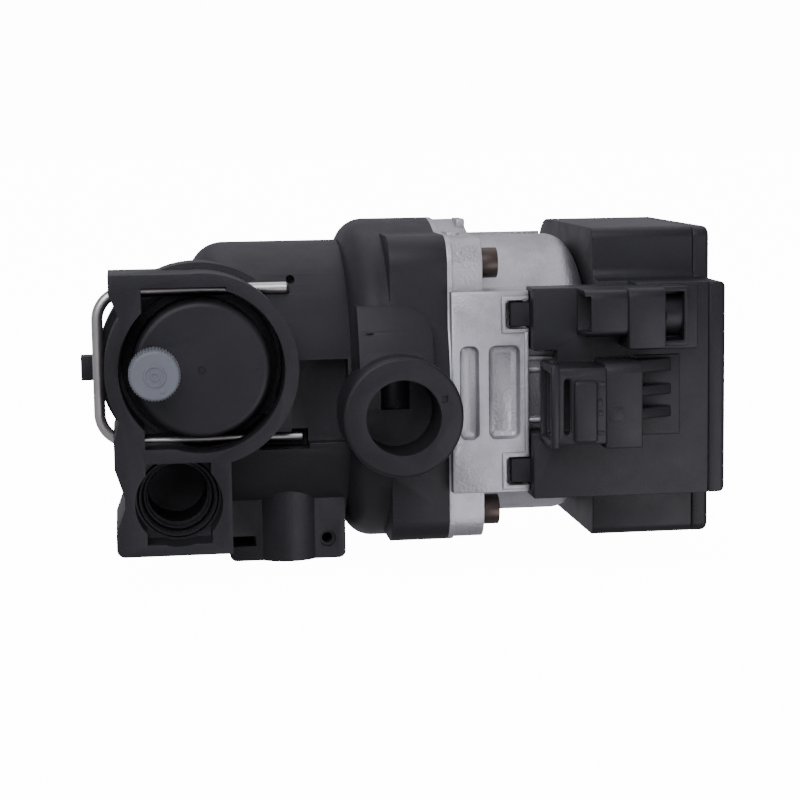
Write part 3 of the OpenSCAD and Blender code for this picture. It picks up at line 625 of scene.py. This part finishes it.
@dataclass
class VentParts(SubAssembly):
    """The vent's lid and its knurled cap."""

    axis: tuple[float, float] = (-53.5, 8.0)
    cap_x: float = -66.5
    cap_front: float = -55.2
    lid_front: float = -43.0
    pin_marks: tuple[tuple[float, float], ...] = ((-39.2, 17.4), (-38.4, 8.1))
    cap_rings: tuple[float, ...] = (1.1, 2.7)

    def build(self) -> None:
        """Builds the lid and the cap."""
        self.lid()
        self.cap()

    def lid(self) -> None:
        """The lid with softly rounded edges and moulded marks."""
        piece = Bench.copy_of("vent_lid", "vent_lid_moulding")
        x, z = self.axis
        Bench.soften(piece, 0.00035, 3)
        front = self.lid_front
        ring = Bench.turned("moulded_ring", mm(x, 0, z), Axis.Y, [
            (0.65 * MM, (front - 0.05) * MM), (0.75 * MM, (front - 0.22) * MM), (1.0 * MM, (front - 0.22) * MM),
            (1.1 * MM, (front + 0.1) * MM), (0.65 * MM, (front + 0.1) * MM)], 32, closed=True)
        marks = [Bench.turned("pin_mark", mm(mx, 0, mz), Axis.Y, [
            (0.45 * MM, (front + 0.1) * MM), (0.45 * MM, (front - 0.05) * MM), (0.3 * MM, (front - 0.1) * MM)], 20)
            for mx, mz in self.pin_marks]
        piece = Bench.merge("vent_lid_moulding", [piece, ring, *marks])
        self.install(piece, Finish.LID, "vent_lid")

    def cap(self) -> None:
        """The knurled cap, with the rings moulded in its face."""
        piece = Bench.copy_of("vent_cap", "vent_cap_moulding")
        Bench.soften(piece, 0.00018, 2)
        z, face = self.axis[1], self.cap_front
        rings = []
        for radius in self.cap_rings:
            rings.append(Bench.turned("cap_ring", mm(self.cap_x, 0, z), Axis.Y, [
                ((radius - 0.4) * MM, (face + 0.1) * MM), ((radius - 0.25) * MM, (face - 0.28) * MM),
                ((radius + 0.25) * MM, (face - 0.28) * MM), ((radius + 0.4) * MM, (face + 0.1) * MM)], 48, closed=True))
        dot = Bench.turned("cap_dot", mm(self.cap_x + 1.9, 0, z - 3.9), Axis.Y, [
            (0.75 * MM, (face + 0.1) * MM), (0.7 * MM, (face - 0.2) * MM), (0.5 * MM, (face - 0.28) * MM)], 28)
        piece = Bench.merge("vent_cap_moulding", [piece, *rings, dot])
        self.install(piece, Finish.CAP, "vent_cap", body="cap")


@dataclass
class MotorHead(SubAssembly):
    """The aluminium stator housing and its screws."""

    edge: float = 0.0005
    plate_y: float = -47.0
    plate_x1: float = 36.5
    pocket_depth: float = 3.2
    pocket_reach: float = 0.0142
    notches: tuple[tuple[float, float], ...] = ((16.6, 26.0), (-27.0, -17.6))
    gland_ribs: tuple[float, ...] = (8.8, 5.6, -8.6)

    def build(self) -> None:
        """Builds the casting and the screws."""
        self.casting()
        piece = Bench.copy_of("housing_screws", "socket_screws")
        Bench.soften(piece, 0.0004, 3)
        self.install(piece, Finish.SCREW, "housing_screws")

    def casting(self) -> None:
        """The die casting: plate rims, drafted pockets, notch lips, pads and gland ribs."""
        piece = Bench.copy_of("motor_housing", "motor_casting")
        floor_y = self.plate_y + self.pocket_depth
        Bench.round_where(piece, 0.0021, 2, lambda a, b: near(a.y, floor_y) and near(b.y, floor_y)
                          and abs(a.z) < self.pocket_reach and abs(b.z) < self.pocket_reach)
        Bench.soften(piece, self.edge, 3)
        extras = []
        # lips round the two hook notches and along the plate's right edge
        for low, high in self.notches:
            lip = Bench.frame_of("notch_lip", mm(28.8, self.plate_y - 0.7, low - 0.5),
                                 mm(self.plate_x1, self.plate_y + 1.2, high + 0.5),
                                 mm(30.0, self.plate_y - 2, low + 0.8),
                                 mm(self.plate_x1 + 1, self.plate_y + 2, high - 0.8),
                                 0.0004)
            extras.append(lip)
        extras.append(Bench.block("edge_lip", mm(35.2, self.plate_y - 0.7, -18.0),
                                  mm(self.plate_x1, self.plate_y + 1.2, 17.0), 0.0004))
        # pads cast on the flange's top
        extras.append(Bench.block("cast_pad", mm(17.0, -26.0, 41.0), mm(20.6, -17.0, 43.2), 0.0004))
        extras.append(Bench.block("cast_pad_back", mm(22.0, -12.0, 43.0), mm(24.6, -3.0, 46.4), 0.0005))
        # ribs round the cable gland boss
        for z in self.gland_ribs:
            extras.append(Bench.block("gland_rib", mm(self.plate_x1 - 0.5, -44.9, z - 0.8),
                                      mm(self.plate_x1 + 7.4, -43.0, z + 0.8), 0.0006))
        piece = Bench.merge("motor_casting", [piece, *extras])
        self.install(piece, Finish.ALUMINIUM, "motor_housing")


@dataclass
class ControlBox(SubAssembly):
    """The black box of the electronics, with its two sockets."""

    edge: float = 0.0006
    panel_y: float = -52.0
    cover_x1: float = 91.2
    rim_reach: float = 0.026
    power_reach: float = 16.0
    signal_reach: float = 11.0
    teeth: tuple[tuple[float, float, float], ...] = (
        (3.2, 4.6, 53.4), (-2.2, -0.2, 52.6), (-4.6, -3.4, 52.9), (-10.0, -8.9, 53.4))
    ribs: tuple[tuple[float, float], ...] = ((5.2, 8.9), (-1.3, 1.7), (-7.6, -4.5))

    def build(self) -> None:
        """Builds the shells and the sockets."""
        self.base()
        self.cover()
        self.power()
        self.signal_plug()

    def base(self) -> None:
        """The base with its stepped panel edge and the raised field round the sockets."""
        piece = Bench.copy_of("box_base", "box_base_moulding")
        Bench.combine(piece, [Bench.block("step", mm(30, -60, 28.7), mm(65.8, -41.5, 32), 0)], "DIFFERENCE")
        Bench.round_where(piece, 0.0032, 4, lambda a, b: along(a, b, 0) and near(a.y, -35.0, 1e-4)
                          and near(a.z, 29.5, 1e-4))
        Bench.soften(piece, self.edge, 3)
        field_pad = Bench.block("socket_field", mm(65.9, self.panel_y - 0.45, 11.2),
                                mm(83.0, self.panel_y + 0.5, 29.1), 0.0003)
        lower_pad = Bench.block("power_field", mm(65.0, self.panel_y - 0.35, -12.6),
                                mm(78.0, self.panel_y + 0.5, 9.8), 0.0003)
        piece = Bench.merge("box_base_moulding", [piece, field_pad, lower_pad])
        self.install(piece, Finish.BOX, "box_base")

    def cover(self) -> None:
        """The end cover with rounded outer corners."""
        piece = Bench.copy_of("box_cover", "box_cover_moulding")
        Bench.round_where(piece, 0.0016, 4, lambda a, b: all(
            near(p.x, self.cover_x1) and max(abs(p.y), abs(p.z)) > self.rim_reach for p in (a, b)))
        Bench.soften(piece, self.edge, 3)
        self.install(piece, Finish.BOX, "box_cover")

    def power(self) -> None:
        """The mains socket: flared mouth, keyed front, latch block and wedge ribs."""
        y0 = self.panel_y
        front = y0 - self.power_reach
        parts = []
        shroud = Bench.frame_of("shroud", mm(40.0, front + 1.2, -12.6), mm(54.0, y0 + 0.4, 8.2),
                                mm(36.0, front + 3.0, -10.8), mm(52.2, y0 - 1.6, 6.4), 0)
        Bench.combine(shroud, [Bench.block("slot", mm(42.4, front - 2, -9.6), mm(44.0, front + 3.6, 5.2), 0)],
                      "DIFFERENCE")
        Bench.soften(shroud, 0.0007, 3)
        parts.append(shroud)
        flare = Bench.frame_of("mouth_flare", mm(38.6, front + 0.4, -13.4), mm(40.8, y0 + 0.2, 9.2),
                               mm(30.0, front + 2.6, -11.2), mm(45.0, y0 - 1.2, 6.8), 0.0006)
        parts.append(flare)
        parts.append(Bench.block("keyed_front", mm(44.8, front, -12.0), mm(51.3, front + 3.0, 4.8), 0.0009, 4))
        for z0, z1, x1 in self.teeth:
            parts.append(Bench.block("latch_tooth", mm(50.8, front + 0.8, z0), mm(x1, front + 3.0, z1), 0.00025, 2))
        latch = Bench.block("latch_block", mm(53.7, front + 1.6, -14.0), mm(64.0, y0 + 0.4, 9.4), 0)
        Bench.round_where(latch, 0.0032, 6, lambda a, b: along(a, b, 0) and near(a.z, 9.4) and near(a.y, front + 1.6))
        Bench.soften(latch, 0.0005, 3)
        parts.append(latch)
        parts.append(Bench.block("latch_pad", mm(54.6, front + 1.45, -6.4), mm(58.6, front + 2.2, -2.6), 0.0001, 2))
        for low, high in self.ribs:
            parts.append(self.wedge("wedge_rib", mm(63.4, y0 - 6.4, low), mm(75.4, y0 + 0.4, high), 5.6))
        piece = Bench.merge("power_socket_moulding", parts)
        self.install(piece, Finish.BOX, "power_socket")

    @staticmethod
    def wedge(name: str, low: Vector, high: Vector, fall_mm: float) -> bpy.types.Object:
        """A rib whose front face falls back towards its high-X end.

        Args:
            name: the rib's name.
            low: its lowest corner.
            high: its highest corner.
            fall_mm: how far the front face falls back at the end.

        Returns:
            The rib.
        """
        piece = Bench.block(name, low, high, 0)
        Bench.pick(piece)
        bpy.ops.object.mode_set(mode="EDIT")
        bpy.ops.mesh.select_mode(type="VERT")
        bpy.ops.mesh.select_all(action="DESELECT")
        bpy.ops.object.mode_set(mode="OBJECT")
        for corner in piece.data.vertices:
            corner.select = corner.co.x > high.x - 1e-5 and corner.co.y < low.y + 1e-5
        bpy.ops.object.mode_set(mode="EDIT")
        bpy.ops.transform.translate(value=(0, fall_mm * MM, 0))
        bpy.ops.object.mode_set(mode="OBJECT")
        Bench.soften(piece, 0.0005, 3)
        return piece

    def signal_plug(self) -> None:
        """The signal socket: rounded shroud, latch block and the window behind it."""
        y0 = self.panel_y
        front = y0 - self.signal_reach
        parts = []
        shroud = Bench.frame_of("signal_shroud", mm(49.0, front, 15.9), mm(61.2, y0 + 0.4, 28.6),
                                mm(47.0, front + 1.3, 17.2), mm(59.6, y0 - 1.2, 27.3), 0)
        Bench.round_where(shroud, 0.0024, 5, lambda a, b: along(a, b, 0) and near(a.y, front)
                          and (near(a.z, 15.9) or near(a.z, 28.6)))
        Bench.combine(shroud, [Bench.block("mouth_cut", mm(46.0, front - 1, 17.4), mm(50.6, front + 2, 27.1), 0)],
                      "DIFFERENCE")
        Bench.soften(shroud, 0.0004, 3)
        parts.append(shroud)
        latch = Bench.block("signal_latch", mm(60.8, front - 0.8, 12.6), mm(71.0, y0 + 0.4, 29.0), 0)
        Bench.round_where(latch, 0.0026, 5, lambda a, b: along(a, b, 0) and near(a.z, 29.0) and near(a.y, front - 0.8))
        Bench.soften(latch, 0.0004, 3)
        parts.append(latch)
        window = Bench.frame_of("latch_window", mm(70.6, y0 - 5.2, 12.6), mm(79.0, y0 + 0.3, 28.8),
                                mm(71.6, y0 - 8, 14.0), mm(77.8, y0 + 5, 27.4), 0.0003)
        parts.append(window)
        barrel = Bench.turned("latch_barrel", mm(0, y0 + 1.4, 20.7), Axis.X, [
            (5.9 * MM, 71.2 * MM), (6.1 * MM, 72.0 * MM), (6.1 * MM, 77.2 * MM), (5.6 * MM, 78.2 * MM)], 64)
        Bench.combine(barrel, [Bench.block("barrel_slot", mm(71.0, y0 - 6, 19.4), mm(73.0, y0 - 3.2, 22.2), 0),
                               Bench.block("barrel_back", mm(70.0, y0 + 0.3, 10.0), mm(80.0, y0 + 9, 30.0), 0)],
                      "DIFFERENCE")
        parts.append(barrel)
        piece = Bench.merge("signal_socket_moulding", parts)
        self.install(piece, Finish.BOX, "signal_socket")


class InnerParts(SubAssembly):
    """CAD nodes that keep their shape and get a finish."""

    finishes = {
        Finish.WIRE: ["vent_clip"],
        Finish.RUBBER: ["lid_o_ring", "cap_washer", "valve_seal", "flange_gasket"],
        Finish.NATURAL: ["valve_pin", "vent_float", "float_lever"],
        Finish.STAINLESS: ["lever_pin", "wear_ring", "bearing_plate", "rotor_can"],
        Finish.IMPELLER: ["impeller"], Finish.CERAMIC: ["shaft"],
        Finish.CARBON: ["thrust_collar", "front_bearing", "rear_bearing"],
        Finish.ROTOR: ["rotor_magnet", "stator_core"], Finish.COPPER: ["stator_windings"],
        Finish.BOARD: ["circuit_board"],
        Finish.COMPONENT: ["capacitors", "tact_switch"], Finish.CONTACT: ["power_pins", "signal_pins"],
        Finish.BUTTON: ["push_button"], Finish.WINDOW: ["display_window"],
    }

    def build(self) -> None:
        """Dresses each node."""
        for finish, nodes in self.finishes.items():
            for node in nodes:
                finish.dress(frame["nodes"][node])


# ---------------------------------------------------------------- the studio


@dataclass
class Studio:
    """Floor, lights and camera, with each light as its name, place, side and power."""

    eye: Vector = field(default_factory=lambda: Vector((-0.0737, -0.6098, 0.0733)))
    pan_deg: float = 7.5
    tilt_deg: float = 7.5
    roll_deg: float = 0.8
    lens_mm: float = 93.7
    backdrop: float = 14.0
    room: float = 0.38
    room_back: float = 0.5
    lights: tuple[tuple[str, tuple[float, float, float], float, float], ...] = (
        ("key", (-0.28, -0.60, 0.50), 0.7, 5.4),
        ("fill", (0.42, -0.74, -0.30), 0.6, 3.1),
        ("top", (0.05, 0.25, 0.8), 0.9, 2.4))

    def build(self) -> None:
        """Sets up the floor, the lights, the world and the camera."""
        self.floor()
        self.world()
        for name, place, size, power in self.lights:
            self.light(name, place, size, power)
        self.camera()

    def floor(self) -> None:
        """A white table under the object, which lights nothing."""
        Bench.clear()
        low = CAD_BOX[0][2] - 0.004
        bpy.ops.mesh.primitive_plane_add(size=16, location=(0, 1.0, low))
        floor = Bench.settle("floor")
        book = NodeBook("floor_paper")
        paper = book.noise(6.0, 2.0)
        tones = [(0.3, (0.9, 0.9, 0.9)), (0.7, (0.94, 0.94, 0.94))]
        book.feed(book.shader.inputs["Base Color"], book.ramp(paper, tones))
        book.shader.inputs["Roughness"].default_value = 0.9
        book.shader.inputs["Emission Color"].default_value = (1.0, 1.0, 1.0, 1.0)
        book.shader.inputs["Emission Strength"].default_value = self.backdrop
        floor.data.materials.append(book.material)
        floor.visible_diffuse = False
        floor.visible_glossy = False

    def world(self) -> None:
        """A white backdrop to look at, and a dim room that is brighter behind the object to light it."""
        world = bpy.data.worlds.new("studio")
        world.use_nodes = True
        tree = world.node_tree
        back = tree.nodes["Background"]
        place = tree.nodes.new("ShaderNodeTexCoord")
        split = tree.nodes.new("ShaderNodeSeparateXYZ")
        tree.links.new(place.outputs["Generated"], split.inputs[0])
        ramp = tree.nodes.new("ShaderNodeValToRGB")
        tree.links.new(split.outputs["Y"], ramp.inputs[0])
        tones = [(0.0, self.room), (0.45, self.room), (0.9, self.room_back)]
        while len(ramp.color_ramp.elements) < len(tones):
            ramp.color_ramp.elements.new(1.0)
        for element, (position, tone) in zip(ramp.color_ramp.elements, tones):
            element.position = position
            element.color = (tone * 0.98, tone * 0.965, tone * 1.06, 1.0)
        tree.links.new(ramp.outputs[0], back.inputs[0])
        back.inputs[1].default_value = 1.0
        white = tree.nodes.new("ShaderNodeBackground")
        white.inputs[0].default_value = (1.0, 1.0, 1.0, 1.0)
        white.inputs[1].default_value = self.backdrop
        seen = tree.nodes.new("ShaderNodeLightPath")
        mix = tree.nodes.new("ShaderNodeMixShader")
        tree.links.new(seen.outputs["Is Camera Ray"], mix.inputs[0])
        tree.links.new(back.outputs[0], mix.inputs[1])
        tree.links.new(white.outputs[0], mix.inputs[2])
        tree.links.new(mix.outputs[0], tree.nodes["World Output"].inputs[0])
        bpy.context.scene.world = world

    @staticmethod
    def light(name: str, place: tuple[float, float, float], size: float, power: float) -> None:
        """A soft square light aimed at the object's middle.

        Args:
            name: the light's name.
            place: where it stands, in metres.
            size: side of the square.
            power: watts.
        """
        lamp = bpy.data.lights.new(name, "AREA")
        lamp.size = size
        lamp.energy = power
        lamp.color = (1.0, 0.985, 1.06)
        holder = bpy.data.objects.new(name, lamp)
        holder.location = place
        holder.rotation_euler = (-Vector(place)).to_track_quat("-Z", "Y").to_euler()
        bpy.context.scene.collection.objects.link(holder)

    def camera(self) -> None:
        """The camera, from the upper left of the port side."""
        pan, tilt, roll = (math.radians(a) for a in (self.pan_deg, self.tilt_deg, self.roll_deg))
        forward = Vector((math.sin(pan) * math.cos(tilt), math.cos(pan) * math.cos(tilt), -math.sin(tilt)))
        right = Vector((math.cos(pan), -math.sin(pan), 0.0))
        up = right.cross(forward)
        turned_right = right * math.cos(roll) - up * math.sin(roll)
        turned_up = up * math.cos(roll) + right * math.sin(roll)
        basis = Matrix((turned_right, turned_up, -forward)).transposed()
        data = bpy.data.cameras.new("camera")
        data.lens = self.lens_mm
        data.sensor_width = 36.0
        camera = bpy.data.objects.new("camera", data)
        camera.matrix_world = Matrix.Translation(self.eye) @ basis.to_4x4()
        bpy.context.scene.collection.objects.link(camera)
        bpy.context.scene.camera = camera


def main() -> None:
    """Builds the object and the studio."""
    logging.basicConfig(level=logging.INFO, format="%(message)s")
    for assembly in (HydraulicBlock(), VentParts(), MotorHead(), ControlBox(), InnerParts()):
        assembly.build()
    Studio().build()


if __name__ == "__main__":
    main()
